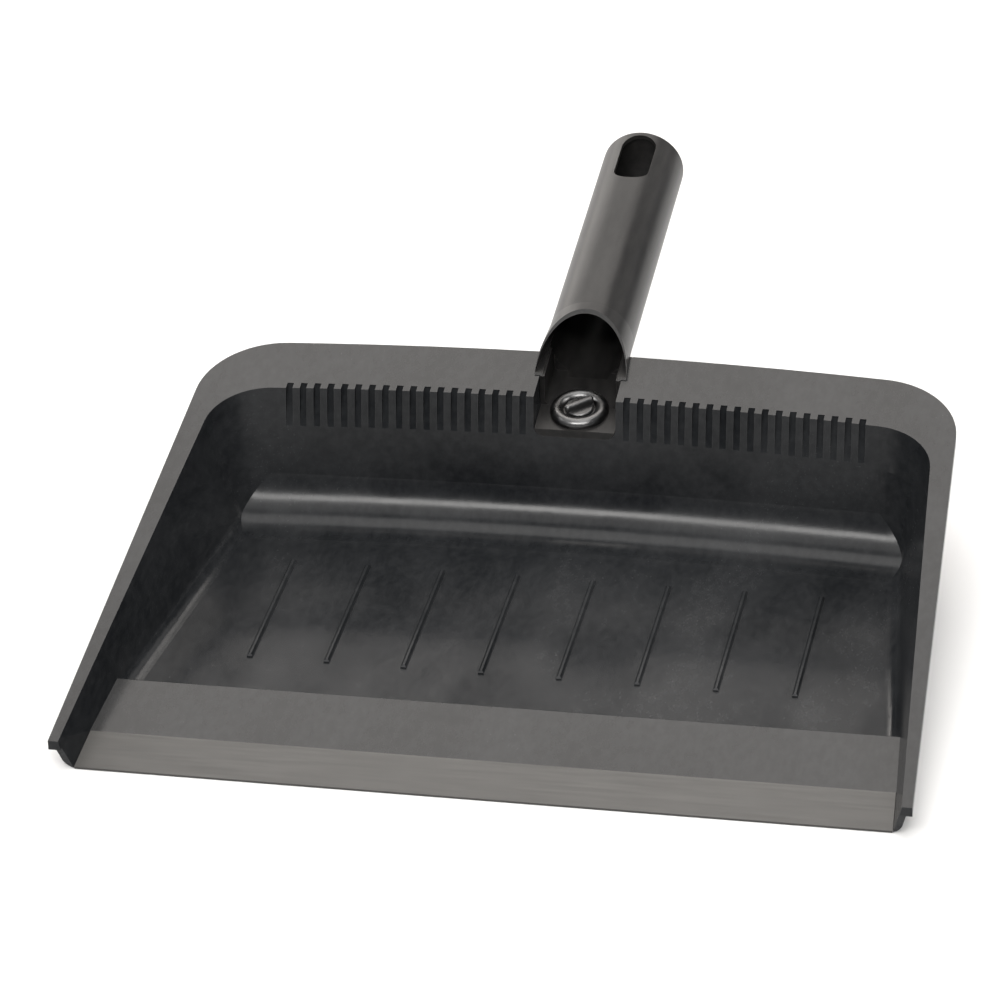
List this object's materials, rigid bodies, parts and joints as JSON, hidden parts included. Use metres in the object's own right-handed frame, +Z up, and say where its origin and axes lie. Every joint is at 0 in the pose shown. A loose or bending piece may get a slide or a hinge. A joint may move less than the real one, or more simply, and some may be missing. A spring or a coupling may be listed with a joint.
{
  "type": "dustpan",
  "caption": "Wide moulded dustpan with a flexible front lip, low walls with a flat rim, a comb under the back rim and a hollow round handle bolted into a saddle.",
  "frame": {"origin": "middle of the footprint, on the floor the pan stands on", "axes": "+Y from the front lip back along the handle, +Z up, +X across the pan"},
  "size_m": [0.3152, 0.378, 0.0957],
  "materials": {
    "tray_plastic": "satin moulded black",
    "lip_vinyl": "satin flexible vinyl",
    "handle_plastic": "satin moulded black",
    "plated_steel": "dull zinc plate",
    "nylon": "natural nylon"
  },
  "bodies": {
    "root": {"pan_tray": "tray_plastic", "front_lip": "lip_vinyl", "handle_grip": "handle_plastic", "handle_screw": "plated_steel", "cup_washer": "plated_steel", "backing_washer": "plated_steel", "lock_nut": "plated_steel", "nut_insert": "nylon"}
  },
  "joints": []
}
